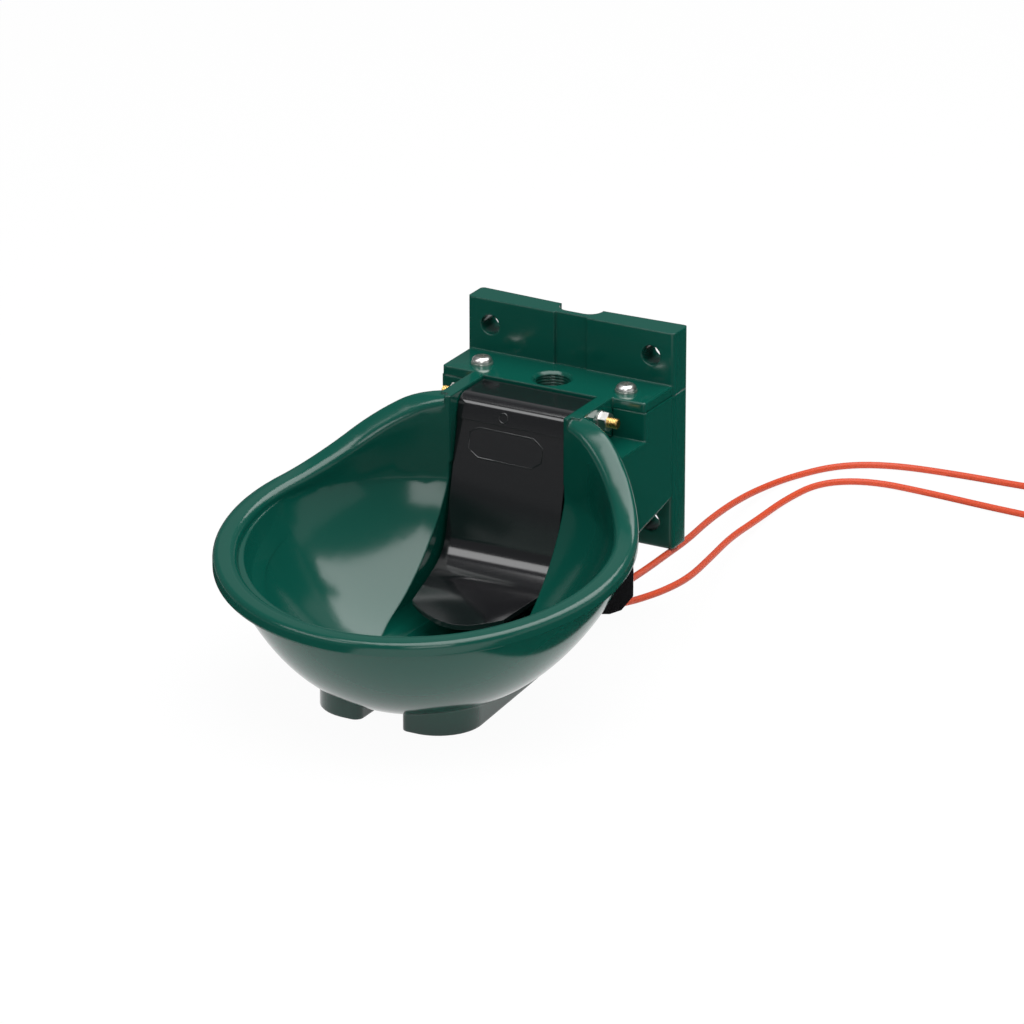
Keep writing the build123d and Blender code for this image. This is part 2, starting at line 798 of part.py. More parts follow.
def valve_body():
    body = along_y(barrel_radius, front_y - barrel_front, front_y - barrel_back, 0, valve_z)
    collar_y = front_y - collar_front
    body += along_y(collar_radius, collar_y, collar_y + collar_length, 0, valve_z)
    body += upright(stub_radius, valve_z, stub_top, 0, inlet_y)
    seat_end = front_y - seat_back - seat_length
    body -= along_y(barrel_bore, seat_end, back_y, 0, valve_z)
    body -= along_y(barrel_bore - 1, front_y - barrel_front + 3, seat_end + 1, 0, valve_z)
    body -= along_y(stem_radius + stem_clearance, 0, seat_end, 0, valve_z)
    body -= upright(stub_bore, valve_z, deck_z, 0, inlet_y)
    for i in range(4):
        turn = radians(45 + 90 * i)
        x = outlet_circle * cos(turn)
        z = valve_z + outlet_circle * sin(turn)
        body -= along_y(outlet_radius, 0, seat_end, x, z)
    return body


def valve_gasket():
    return ring_y(collar_radius, barrel_radius, collar_front, collar_front + gasket_thickness)


def valve_nut():
    nut = hexagon(valve_nut_flats, valve_nut_length, barrel_radius)
    return Pos(0, front_y - trough_back, valve_z) * Rot(90, 0, 0) * nut


def valve_seat():
    return ring_y(barrel_bore, seat_radius, seat_back, seat_back + seat_length)


def valve_stem():
    stem = along_y(stem_radius, front_y - stem_reach, front_y - head_back - 1, 0, valve_z)
    tip = stem.edges().filter_by(GeomType.CIRCLE).sort_by(Axis.Y)[0]
    stem = fillet(tip, stem_radius * 0.6)
    return stem + along_y(head_radius, front_y - head_front, front_y - head_back, 0, valve_z)


def valve_seal():
    return ring_y(head_radius, stem_radius, head_front, seal_front)


def valve_spring():
    start = front_y - head_back + spring_gap
    end = front_y - barrel_back - plug_spigot - spring_gap
    length = end - start - 2 * spring_wire
    coil = Helix(length / spring_turns, length, spring_radius)
    section = Plane(origin=coil @ 0, z_dir=coil % 0) * Circle(spring_wire)
    return Pos(0, end - spring_wire, valve_z) * Rot(90, 0, 0) * sweep(section, path=coil)


def valve_plug():
    spigot = front_y - barrel_back - plug_spigot
    plug = along_y(barrel_bore, spigot, front_y - barrel_back, 0, valve_z)
    head = hexagon(plug_flats, plug_length, 0)
    return plug + Pos(0, front_y - barrel_back + plug_length, valve_z) * Rot(90, 0, 0) * head


def inlet_gasket():
    floor = stub_top
    ring = upright(strainer_flange_radius, floor, floor + inlet_gasket_thickness, 0, inlet_y)
    return ring - upright(inlet_gasket_bore, floor - 1, deck_z, 0, inlet_y)


def inlet_strainer():
    floor = stub_top + inlet_gasket_thickness
    wall = strainer_wall
    cup = upright(strainer_flange_radius, floor, floor + wall, 0, inlet_y)
    cup += upright(strainer_radius, floor - strainer_depth, floor, 0, inlet_y)
    cup -= upright(strainer_radius - wall, floor - strainer_depth + wall, deck_z, 0, inlet_y)
    holes = 8
    for i in range(holes):
        turn = 2 * pi * i / holes
        x = strainer_radius * 0.62 * cos(turn)
        y = inlet_y + strainer_radius * 0.62 * sin(turn)
        cup -= upright(strainer_hole, 0, deck_z, x, y)
    return cup


# ---- heater, gland and cables ----

def run_line(points):
    """Straight runs through the points, joined by arcs as wide as the runs allow."""
    corners = [Vector(*p) for p in points]
    runs = [b - a for a, b in zip(corners, corners[1:])]
    radii = []
    for a, b in zip(runs, runs[1:]):
        half_turn = radians(a.get_angle(b)) / 2
        radii.append(0.45 * min(a.length, b.length) / tan(half_turn))
    return FilletPolyline(*corners, radius=radii)


def tube(line, radius):
    """A round cord along a line."""
    return sweep(Plane(origin=line @ 0, z_dir=line % 0) * Circle(radius), path=line)


def heater_line():
    """The heating cable's path: rows under the bowl."""
    z = deck_z - heater_drop
    points = []
    start_y = bowl_y - heater_row_spacing * (heater_rows - 1) / 2
    for row in range(heater_rows):
        y = start_y + row * heater_row_spacing
        side = 1 if row % 2 == 0 else -1
        points.append((side * heater_reach, y, z))
        points.append((-side * heater_reach, y, z))
    return FilletPolyline(*points, radius=heater_bend)


def heating_cable():
    return tube(heater_line(), heater_radius)


def gland_form():
    """The block on the shell's side before the shell and the cables are cut from it."""
    outline = FilletPolyline(*gland_outline, radius=gland_round, close=True)
    bar = extrude(Plane.XZ * make_face(outline), gland_half_width, both=True)
    bar = Pos(gland_x, gland_y, deck_z) * Rot(0, 0, gland_turn) * bar
    return bar


def cable_gland():
    block_form = gland_form() - (pot(0, 0) & under_rim(rim_thickness))
    for route in (upper_route, lower_route):
        line = Line(route[0], route[1])
        block_form -= tube(line, lead_radius)
    return block_form


def coil(centre):
    """The put-away length of a cable, as one closed ring."""
    return Pos(centre[0], centre[1], coil_section / 2) * Torus(coil_turn_radius, coil_section / 2)


def cable(route, centre):
    """A free cable from the gland to its coil."""
    return tube(run_line(route), lead_radius) - coil(centre)


def cable_end(radius, length, centre, away):
    """A round end piece beside a coil, on the same surface, on its +Y or -Y side."""
    near = centre[1] + away * coil_end_offset
    low = near if away > 0 else near - length
    bar = along_y(radius, low, low + length, centre[0] + coil_turn_radius + 2, radius)
    return bar - coil(centre)


nodes = {
    "upper_body": upper_body,
    "lower_body": lower_body,
    "tongue": tongue,
    "tongue_pin": tongue_pin,
    "pin_washers": lambda: both_sides(pin_washer()),
    "pin_nuts": lambda: both_sides(pin_nut()),
    "deck_screws": lambda: both_sides(deck_screw()),
    "deck_screw_washers": lambda: both_sides(deck_screw_washer()),
    "valve_body": valve_body,
    "valve_gasket": valve_gasket,
    "valve_nut": valve_nut,
    "valve_seat": valve_seat,
    "valve_stem": valve_stem,
    "valve_seal": valve_seal,
    "valve_spring": valve_spring,
    "valve_plug": valve_plug,
    "inlet_gasket": inlet_gasket,
    "inlet_strainer": inlet_strainer,
    "heating_cable": heating_cable,
    "cable_gland": cable_gland,
    "supply_cable": lambda: cable(lower_route, lower_coil),
    "supply_cable_coil": lambda: coil(lower_coil),
    "supply_cable_end": lambda: cable_end(
        supply_end_radius, supply_end_length, lower_coil, -1
        ),
    "trace_cable": lambda: cable(upper_route, upper_coil),
    "trace_cable_coil": lambda: coil(upper_coil),
    "trace_cable_end": lambda: cable_end(
        trace_end_radius, trace_end_length, upper_coil, 1
        ),
    }


if __name__ == "__main__":
    os.makedirs("parts", exist_ok=True)
    for name, make in nodes.items():
        export_step(make(), "parts/" + name + ".step")
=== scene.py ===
import json
from math import cos, pi, radians, sin

import bmesh
import bpy
from mathutils import Matrix, Vector


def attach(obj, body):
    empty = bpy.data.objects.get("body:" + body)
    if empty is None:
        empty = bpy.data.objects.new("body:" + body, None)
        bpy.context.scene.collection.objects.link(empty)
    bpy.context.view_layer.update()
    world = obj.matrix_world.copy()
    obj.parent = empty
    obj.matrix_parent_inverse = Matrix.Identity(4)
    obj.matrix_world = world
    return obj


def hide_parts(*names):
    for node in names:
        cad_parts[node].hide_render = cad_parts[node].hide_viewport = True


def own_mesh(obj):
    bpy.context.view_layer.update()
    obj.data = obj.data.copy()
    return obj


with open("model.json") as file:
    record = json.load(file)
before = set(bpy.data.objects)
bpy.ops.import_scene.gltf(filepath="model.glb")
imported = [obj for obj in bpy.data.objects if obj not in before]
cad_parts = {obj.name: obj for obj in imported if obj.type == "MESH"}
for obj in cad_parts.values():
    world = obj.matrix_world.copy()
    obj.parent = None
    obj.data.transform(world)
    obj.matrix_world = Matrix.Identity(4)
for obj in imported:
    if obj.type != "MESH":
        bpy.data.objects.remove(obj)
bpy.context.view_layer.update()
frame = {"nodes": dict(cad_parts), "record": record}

bl_info = {
    "name": "Heated livestock drinking bowl",
    "version": (1, 0, 0),
    "blender": (4, 5, 0),
    "location": "View3D > Sidebar > Drinking Bowl",
    "description": "Builds the looks of a heated livestock drinking bowl round its CAD frame",
    "category": "Object",
}

MM = 0.001

# Routes of the two cables' middle lines, as the CAD part has them, in metres
TRACE_ROUTE = (
    (0.0982, 0.0152, 0.0674),
    (0.0943, 0.0282, 0.0640),
    (0.0800, 0.0765, 0.0510),
    (0.0641, 0.1307, 0.0375),
    (0.0554, 0.1733, 0.0300),
    (0.0406, 0.2270, 0.0200),
    (0.0300, 0.2810, 0.0110),
    (0.0260, 0.3220, 0.0045),
    (0.0310, 0.3560, 0.0020),
    (0.0470, 0.3860, 0.0020),
    (0.0750, 0.4020, 0.0020),
    (0.1184, 0.4070, 0.0020),
    (0.1600, 0.4085, 0.0020),
    (0.2070, 0.4061, 0.0050),
)
SUPPLY_ROUTE = (
    (0.1006, 0.0072, 0.0587),
    (0.0994, 0.0160, 0.0562),
    (0.0969, 0.0330, 0.0510),
    (0.0944, 0.0683, 0.0430),
    (0.0868, 0.1146, 0.0330),
    (0.0708, 0.1720, 0.0220),
    (0.0552, 0.2280, 0.0120),
    (0.0470, 0.2770, 0.0040),
    (0.0445, 0.3200, 0.0020),
    (0.0500, 0.3550, 0.0020),
    (0.0753, 0.3720, 0.0020),
    (0.1162, 0.3710, 0.0020),
    (0.1600, 0.3675, 0.0020),
    (0.2050, 0.3640, 0.0030),
    (0.2500, 0.3619, 0.0050),
)
TRACE_COIL = (0.207, 0.433)
SUPPLY_COIL = (0.250, 0.335)
CABLE_DIAMETER = 0.004

# The coils: a cable winds slowly round the coil's own round section, by a step each turn,
# and two last points, each a way past the turns and a height, lead to the cable's end
COIL_TURN_RADIUS = 0.023
COIL_SECTION_RADIUS = 0.004
COIL_LIFT = 0.006
COIL_TURNS = 5.25
COIL_STEPS = 16
SECTION_STEP = radians(60)
SECTION_START = radians(-14.5)
COIL_ENDS = ((0.008, 0.0025), (0.017, 0.003))

# The bowl's inner wall and the smooth skin between it and the rim, in metres and radians
BOWL_Y = -0.03625
BOWL_SQUASH = 0.9375
SHELL_RADIUS = 0.1124
MOUTH_RADIUS = 0.1058
WALL_INSET = 0.0066
WALL_CLOSE_Z = 0.012
WALL_CLIMB = 0.0784
WALL_POWER = 1.2
WALL_ROUNDNESS = 2.44
RIM_FRONT_Y = -0.14875
RIM_FRONT_Z = 0.075
RIM_SLOPE = 0.1631
LINER_TOP = 0.0047
LINER_LOW = 0.024
LINER_INSET = 0.0003
LINER_REACH = radians(100)
LINER_ROWS = 14
LINER_COLUMNS = 120

# The tongue's front panel and its moulded marks: across from the middle, and below the deck
DECK_Z = 0.140
PANEL_TOP_Y = 0.06765
PANEL_TOP_DROP = 0.0016
PANEL_SLOPE = 0.2191
HOOD_STEP = 0.0011
PANEL_CORNERS = (
    (-0.027, 0.0215), (-0.027, 0.0312), (-0.0205, 0.0352), (0.0140, 0.0356),
    (0.0200, 0.0315), (0.0200, 0.0230), (0.0135, 0.0188), (-0.0210, 0.0183),
)
RING_PLACE = (-0.0063, 0.0104)
RING_RADIUS = 0.0028
RING_POINTS = 24

# The pin's threaded ends and the threaded inlet
PIN_PLACE = (0.0, 0.08475, 0.131)
PIN_THREAD_RADIUS = 0.00315
PIN_THREAD_START = 0.0509
PIN_THREAD_END = 0.0562
INLET_PLACE = (0.0, 0.11025, 0.140)
INLET_RADIUS = 0.01046
INLET_THREAD_LOW = -0.0145
INLET_THREAD_HIGH = -0.0015

# Screw threads: their fineness, and their depth as a share of the pitch
THREAD_SIDES = 40
THREAD_STEPS = 4
PIN_THREAD_DEPTH = 0.25
INLET_THREAD_DEPTH = 0.5

# Normals: corners this near share a place, normals with this cosine are the same, and faces
# that meet at less than these angles, in degrees, are shaded as one surface
PLACE_STEP = 0.002 * MM
SAME_NORMAL = 0.99999
EVEN_ANGLE = 12.0
MOULDING_EVEN_ANGLE = 30.0
SHARP_ANGLE = 60.0

# Colour, roughness and metal of the plain materials
PLAIN_FINISHES = {
    "brass": ((0.72, 0.47, 0.16), 0.26, 1.0),
    "steel": ((0.72, 0.71, 0.68), 0.3, 1.0),
    "rubber": ((0.015, 0.015, 0.015), 0.6, 0.0),
}
CABLE_ROUGHNESS = 0.5
COAT_ROUGHNESS = 0.12
GRAIN_DETAIL = 2.0
GRAIN_HEIGHT = 0.0004
EDGE_SAMPLES = 6

# Softboxes: azimuth from the front, elevation, distance, size, share of brightness and roll,
# with angles in degrees, all turned to one place in the object
LIT_PLACE = (0.0, 0.0, 0.08)
SOFTBOXES = (
    ("Overhead softbox", 113.0, 79.9, 1.52, (2.34, 1.58), 1.0, 135.0),
    ("Front softbox", 22.0, 27.0, 5.0, (1.7, 1.7), 0.75, 0.0),
    ("Left strip", -40.0, 40.0, 2.0, (1.1, 0.55), 0.75, 0.0),
    ("Back panel", -143.0, 44.0, 1.8, (0.8, 0.7), 0.045, 0.0),
    ("Side panel", 95.0, 14.0, 1.2, (1.4, 0.9), 0.09, 0.0),
)

# Black cards between two corners, which only glossy rays see
DARK_CARDS = (
    ("Right floor card", (0.11, -0.25, -0.00015), (1.2, 1.5, -0.0001)),
    ("Front floor card", (-1.2, -1.6, -0.00015), (-0.03, -0.21, -0.0001)),
    ("Left floor card", (-1.2, -0.21, -0.00015), (-0.16, 1.0, -0.0001)),
    ("Right standing card", (0.135, 0.15, 0.0), (0.136, 0.8, 0.35)),
)

# The floor, the world's light and the floor's share of plain white
FLOOR_REACH = 6.0
FLOOR_Z = -0.0002
FLOOR_COLOUR = (0.9, 0.9, 0.9)
FLOOR_GLOW_SHARE = 0.96
WORLD_COLOUR = (0.92, 0.97, 1.0, 1.0)
WORLD_STRENGTH = 0.15

# The camera is placed by the middle of the line where the deck meets the wall plate, and by
# the pixel that shows it
ANCHOR = (0.0, 0.13175, 0.140)
ANCHOR_PIXEL = (570.1, 366.7)
PICTURE_PIXELS = 1024.0
SENSOR_WIDTH = 36.0


# ---- sizes and colours that a user would change ----

class BowlColours(bpy.types.PropertyGroup):
    """Colours and gloss of the bowl's materials."""

    green: bpy.props.FloatVectorProperty(
        name="Green", description="Colour of the two mouldings", subtype="COLOR",
        size=3, min=0, max=1, default=(0.002, 0.062, 0.044))
    black: bpy.props.FloatVectorProperty(
        name="Black", description="Colour of the tongue and the gland", subtype="COLOR",
        size=3, min=0, max=1, default=(0.006, 0.006, 0.007))
    cable: bpy.props.FloatVectorProperty(
        name="Cable", description="Colour of the cables' sheath", subtype="COLOR",
        size=3, min=0, max=1, default=(0.56, 0.056, 0.012))
    green_roughness: bpy.props.FloatProperty(
        name="Green roughness", description="How matt the mouldings are", subtype="FACTOR",
        min=0, max=1, default=0.14)
    black_roughness: bpy.props.FloatProperty(
        name="Black roughness", description="How matt the tongue is", subtype="FACTOR",
        min=0, max=1, default=0.13)


class BowlDetails(bpy.types.PropertyGroup):
    """Sizes of the small details."""

    thread_pitch: bpy.props.FloatProperty(
        name="Inlet pitch", description="Pitch of the inlet's pipe thread",
        subtype="DISTANCE", unit="LENGTH", default=0.001814)
    pin_pitch: bpy.props.FloatProperty(
        name="Pin pitch", description="Pitch of the pin's thread",
        subtype="DISTANCE", unit="LENGTH", default=0.001)
    mark_height: bpy.props.FloatProperty(
        name="Mark height", description="How far the moulded marks stand proud",
        subtype="DISTANCE", unit="LENGTH", default=0.0004)


class StageSettings(bpy.types.PropertyGroup):
    """The view and the light."""

    azimuth: bpy.props.FloatProperty(
        name="Azimuth", description="Camera's turn round the object", subtype="ANGLE",
        unit="ROTATION", default=radians(28.99))
    elevation: bpy.props.FloatProperty(
        name="Elevation", description="Camera's height above the horizon", subtype="ANGLE",
        unit="ROTATION", default=radians(21.64))
    distance: bpy.props.FloatProperty(
        name="Distance", description="From the camera to the deck at the wall plate",
        subtype="DISTANCE", unit="LENGTH", default=3.999)
    focal_pixels: bpy.props.FloatProperty(
        name="Focal length", description="In pixels of a picture 1024 wide", default=7000.0)
    softbox_brightness: bpy.props.FloatProperty(
        name="Softboxes", description="Brightness of the overhead softbox", default=4.0)


# ---- materials ----

def plain_material(name, colour, roughness, metallic=0.0, coat=0.0):
    """A material with plain values on the shader's own sockets."""
    material = bpy.data.materials.new(name)
    material.use_nodes = True
    shader = material.node_tree.nodes["Principled BSDF"]
    shader.inputs["Base Color"].default_value = (*colour, 1.0)
    shader.inputs["Roughness"].default_value = roughness
    shader.inputs["Metallic"].default_value = metallic
    shader.inputs["Coat Weight"].default_value = coat
    shader.inputs["Coat Roughness"].default_value = COAT_ROUGHNESS
    material.diffuse_color = (*colour, 1.0)
    return material


def grain(material, scale, strength, rounding):
    """Rounded edges and a fine bump on a moulded surface."""
    tree = material.node_tree
    place = tree.nodes.new("ShaderNodeTexCoord")
    noise = tree.nodes.new("ShaderNodeTexNoise")
    noise.inputs["Scale"].default_value = scale
    noise.inputs["Detail"].default_value = GRAIN_DETAIL
    edges = tree.nodes.new("ShaderNodeBevel")
    edges.samples = EDGE_SAMPLES
    edges.inputs["Radius"].default_value = rounding
    bump = tree.nodes.new("ShaderNodeBump")
    bump.inputs["Strength"].default_value = strength
    bump.inputs["Distance"].default_value = GRAIN_HEIGHT
    tree.links.new(place.outputs["Object"], noise.inputs["Vector"])
    tree.links.new(noise.outputs["Fac"], bump.inputs["Height"])
    tree.links.new(edges.outputs["Normal"], bump.inputs["Normal"])
    tree.links.new(bump.outputs["Normal"], tree.nodes["Principled BSDF"].inputs["Normal"])
    return material


def material_for(slot):
    """The material of a slot, made once."""
    name = "Bowl " + slot
    if name in bpy.data.materials:
        return bpy.data.materials[name]
    colours = bpy.context.scene.bowl_colours
    if slot == "green_moulding":
        made = plain_material(name, colours.green, colours.green_roughness)
        return grain(made, scale=90.0, strength=0.03, rounding=0.0016)
    if slot == "black_moulding":
        made = plain_material(name, colours.black, colours.black_roughness, coat=1.0)
        return grain(made, scale=60.0, strength=0.03, rounding=0.0008)
    if slot in PLAIN_FINISHES:
        colour, roughness, metallic = PLAIN_FINISHES[slot]
        return plain_material(name, colour, roughness, metallic)
    return plain_material(name, colours.cable, CABLE_ROUGHNESS)


def body_for(node):
    """The CAD body that a node belongs to."""
    bodies = frame["record"]["behaviour"]["bodies"]
    return next(body for body, members in bodies.items() if node in members)


def even_normals(mesh, angle):
    """Evens out the normals where faces meet at less than an angle, and leaves the rest."""
    least = cos(radians(angle))
    normals = [Vector(corner.vector) for corner in mesh.corner_normals]
    meetings = {}
    for loop in mesh.loops:
        place = mesh.vertices[loop.vertex_index].co
        key = tuple(round(value / PLACE_STEP) for value in place)
        meetings.setdefault(key, []).append(loop.index)
    evened = list(normals)
    for corners in meetings.values():
        distinct = []
        for corner in corners:
            if all(normals[corner].dot(other) < SAME_NORMAL for other in distinct):
                distinct.append(normals[corner])
        if len(distinct) > 1:
            for corner in corners:
                near = [other for other in distinct if normals[corner].dot(other) > least]
                evened[corner] = sum(near, Vector()).normalized()
    mesh.normals_split_custom_set(evened)


def dress(names, angle=EVEN_ANGLE):
    """Shows each CAD node as a copy with its material and its CAD normals, evened out."""
    slots = {part["node"]: part["material_slot"] for part in frame["record"]["subparts"]}
    for name in names:
        mesh = frame["nodes"][name].data.copy()
        mesh.name = name + "_look"
        mesh.materials.clear()
        even_normals(mesh, angle)
        piece = add_piece(name + "_look", mesh, slots[name], body_for(name))
        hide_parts(name)


def add_piece(name, data, slot, body):
    """Puts a mesh or a curve in the scene with its material, riding on a body."""
    data.materials.append(material_for(slot))
    piece = bpy.data.objects.new(name, data)
    bpy.context.scene.collection.objects.link(piece)
    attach(piece, body)
    return piece


def new_piece(name, shape, slot, body):
    """A mesh piece from a bmesh, riding on a body."""
    mesh = bpy.data.meshes.new(name)
    shape.to_mesh(mesh)
    shape.free()
    mesh.shade_smooth()
    mesh.set_sharp_from_angle(angle=radians(SHARP_ANGLE))
    add_piece(name, mesh, slot, body)


def thread(name, radius, depth, pitch, low, high, place, slot, body):
    """A screw thread's surface about an axis: place turns a point on the +Z axis into the frame."""
    shape = bmesh.new()
    rows = []
    for i in range(int((high - low) / pitch) * THREAD_STEPS + 1):
        row = []
        for j in range(THREAD_SIDES):
            share = j / THREAD_SIDES
            along = low + pitch * (i / THREAD_STEPS + share)
            dip = abs((i % THREAD_STEPS) / THREAD_STEPS - 0.5) * 2
            reach = radius - depth * dip
            turn = 2 * pi * share
            point = Vector((reach * cos(turn), reach * sin(turn), min(along, high)))
            row.append(shape.verts.new(place @ point))
        rows.append(row)
    for i in range(len(rows) - 1):
        for j in range(THREAD_SIDES - 1):
            shape.faces.new((rows[i][j], rows[i][j + 1], rows[i + 1][j + 1], rows[i + 1][j]))
    for i in range(len(rows) - 1 - THREAD_STEPS):
        ahead = i + THREAD_STEPS
        shape.faces.new((rows[i][-1], rows[ahead][0], rows[ahead + 1][0], rows[i + 1][-1]))
    bmesh.ops.recalc_face_normals(shape, faces=shape.faces)
    new_piece(name, shape, slot, body)


def raised_line(name, points, height, slot, body):
    """A thin raised line, closed, through points: round, and half sunk in the surface."""
    curve = bpy.data.curves.new(name, "CURVE")
    curve.dimensions = "3D"
    curve.bevel_depth = height
    curve.bevel_resolution = 2
    spline = curve.splines.new("POLY")
    spline.points.add(len(points) - 1)
    for point, at in zip(spline.points, points):
        point.co = (*at, 1.0)
    spline.use_cyclic_u = True
    add_piece(name, curve, slot, body)


# ---- operators ----

class MouldingsOperator(bpy.types.Operator):
    """Dress the upper and lower mouldings and add the smooth skin inside the rim"""

    bl_idname = "bowl.mouldings"
    bl_label = "Mouldings"

    def execute(self, context):
        dress(["upper_body", "lower_body"], MOULDING_EVEN_ANGLE)
        shape = bmesh.new()
        rows = []
        for i in range(LINER_ROWS + 1):
            depth = LINER_TOP + (LINER_LOW - LINER_TOP) * i / LINER_ROWS
            row = []
            for j in range(LINER_COLUMNS + 1):
                turn = LINER_REACH * (2 * j / LINER_COLUMNS - 1)
                row.append(shape.verts.new(self.on_liner(turn, depth)))
            rows.append(row)
        for upper, lower in zip(rows, rows[1:]):
            for j in range(LINER_COLUMNS):
                shape.faces.new((upper[j], lower[j], lower[j + 1], upper[j + 1]))
        new_piece("bowl_liner", shape, "green_moulding", "bowl")
        return {"FINISHED"}

    def on_liner(self, turn, depth):
        """A point of the smooth skin between the rim's inner edge and the bowl's wall."""
        rim_y = BOWL_Y - MOUTH_RADIUS * BOWL_SQUASH * cos(turn)
        rim_z = RIM_FRONT_Z + (rim_y - RIM_FRONT_Y) * RIM_SLOPE
        z = rim_z - depth
        top = self.wall_radius(rim_z - LINER_TOP)
        share = (depth - LINER_TOP) / (LINER_LOW - LINER_TOP)
        fall = 1 - share * share * (3 - 2 * share)
        radius = self.wall_radius(z) + (MOUTH_RADIUS - top) * fall - LINER_INSET * (1 - fall)
        return (radius * sin(turn), BOWL_Y - radius * BOWL_SQUASH * cos(turn), z)

    def wall_radius(self, z):
        """Half the width of the bowl's inner wall at a height."""
        climb = min(1.0, (z - WALL_CLOSE_Z) / WALL_CLIMB)
        width = (1 - (1 - climb) ** WALL_POWER) ** (1 / WALL_ROUNDNESS)
        return SHELL_RADIUS * width - WALL_INSET


class TongueOperator(bpy.types.Operator):
    """Dress the push tongue and the gland, and add the tongue's moulded marks"""

    bl_idname = "bowl.tongue"
    bl_label = "Tongue"

    def execute(self, context):
        dress(["tongue", "cable_gland"])
        outline = [self.on_panel(*corner) for corner in PANEL_CORNERS]
        height = context.scene.bowl_details.mark_height
        raised_line("tongue_panel_mark", outline, height, "black_moulding", "tongue")
        ring = []
        for i in range(RING_POINTS):
            turn = 2 * pi * i / RING_POINTS
            across = RING_PLACE[0] + RING_RADIUS * cos(turn)
            drop = RING_PLACE[1] + RING_RADIUS * sin(turn)
            ring.append(self.on_panel(across, drop, HOOD_STEP))
        raised_line("tongue_ring_mark", ring, height, "black_moulding", "tongue")
        return {"FINISHED"}

    def on_panel(self, across, drop, proud=0.0):
        """A point on the tongue's front, from the middle and below the deck, in metres."""
        forward = PANEL_TOP_Y - PANEL_SLOPE * (drop - PANEL_TOP_DROP) - proud
        return (across, forward, DECK_Z - drop)


class FastenersOperator(bpy.types.Operator):
    """Dress the pin, screws, washers and nuts, and add the pin's threads"""

    bl_idname = "bowl.fasteners"
    bl_label = "Fasteners"

    def execute(self, context):
        dress(["pin_washers", "pin_nuts", "deck_screws", "deck_screw_washers", "tongue_pin"])
        pitch = context.scene.bowl_details.pin_pitch
        for name, side in (("pin_thread_right", 1), ("pin_thread_left", -1)):
            along = Matrix.Translation(PIN_PLACE) @ Matrix.Rotation(side * pi / 2, 4, "Y")
            thread(
                name, PIN_THREAD_RADIUS, pitch * PIN_THREAD_DEPTH, pitch, PIN_THREAD_START,
                PIN_THREAD_END, along, "brass", "bowl")
        return {"FINISHED"}


class ValveOperator(bpy.types.Operator):
    """Dress the valve and the inlet, give the spring's look its own mesh and add the inlet's thread
    """

    bl_idname = "bowl.valve"
    bl_label = "Valve"

    def execute(self, context):
        dress([
            "valve_body", "valve_gasket", "valve_nut", "valve_seat", "valve_stem",
            "valve_seal", "valve_spring", "valve_plug", "inlet_gasket", "inlet_strainer",
        ])
        spring = bpy.data.objects["valve_spring_look"]
        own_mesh(spring)
        pitch = context.scene.bowl_details.thread_pitch
        up = Matrix.Translation(INLET_PLACE)
        thread(
            "inlet_thread", INLET_RADIUS, pitch * INLET_THREAD_DEPTH, pitch,
            INLET_THREAD_LOW, INLET_THREAD_HIGH, up, "green_moulding", "bowl")
        return {"FINISHED"}


def coil_points(centre, turning):
    """The points of a coil's turns, and of the way from them to the cable's end."""
    points = []
    start = -pi / 2 * turning
    count = int(COIL_TURNS * COIL_STEPS)
    # A spline of order 3 runs inside its points, so these lie a little further out
    grow = 4 / (3 + cos(2 * pi / COIL_STEPS))
    for i in range(1, count + 1):
        turn = i / COIL_STEPS
        angle = start + turning * 2 * pi * turn
        wind = SECTION_START + SECTION_STEP * turn
        radius = (COIL_TURN_RADIUS + COIL_SECTION_RADIUS * cos(wind)) * grow
        lift = COIL_LIFT + COIL_SECTION_RADIUS * sin(wind)
        points.append((centre[0] + radius * cos(angle), centre[1] + radius * sin(angle), lift))
    last = points[-1]
    for ahead, lift in COIL_ENDS:
        points.append((last[0], last[1] + turning * ahead, lift))
    return points


def free_cable(name, route, centre, turning):
    """A cable from the gland to its coil, as one open spline."""
    points = list(route) + coil_points(centre, turning)
    curve = bpy.data.curves.new(name, "CURVE")
    curve.dimensions = "3D"
    curve.bevel_depth = CABLE_DIAMETER / 2
    curve.bevel_resolution = 5
    curve.resolution_u = 6
    curve.use_fill_caps = True
    spline = curve.splines.new("NURBS")
    spline.points.add(len(points) - 1)
    for point, place in zip(spline.points, points):
        point.co = (*place, 1.0)
    spline.order_u = 3
    spline.use_endpoint_u = True
    cable = add_piece(name, curve, "cable_sheath", "bowl")
    return cable


class CablesOperator(bpy.types.Operator):
    """Make the heating cable's visible leads and dress their ends"""

    bl_idname = "bowl.cables"
    bl_label = "Cables"

    def execute(self, context):
        dress(["heating_cable", "supply_cable_end", "trace_cable_end"])
        supply = free_cable(
            "supply_lead", SUPPLY_ROUTE, SUPPLY_COIL, -1)
        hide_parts("supply_cable", "supply_cable_coil")
        trace = free_cable(
            "trace_lead", TRACE_ROUTE, TRACE_COIL, 1)
        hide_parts("trace_cable", "trace_cable_coil")
        return {"FINISHED"}


def area_light(name, azimuth, elevation, distance, size, brightness, roll):
    """A soft rectangular light seen from the bowl at an azimuth from the front and an elevation."""
    data = bpy.data.lights.new(name, "AREA")
    data.shape = "RECTANGLE"
    data.size = size[0]
    data.size_y = size[1]
    data.energy = pi * size[0] * size[1] * brightness
    light = bpy.data.objects.new(name, data)
    turn = radians(azimuth)
    rise = radians(elevation)
    away = Vector((sin(turn) * cos(rise), -cos(turn) * cos(rise), sin(rise)))
    light.location = Vector(LIT_PLACE) + away * distance
    aim = away.to_track_quat("Z", "Y").to_matrix() @ Matrix.Rotation(radians(roll), 3, "Z")
    light.rotation_euler = aim.to_euler()
    bpy.context.scene.collection.objects.link(light)


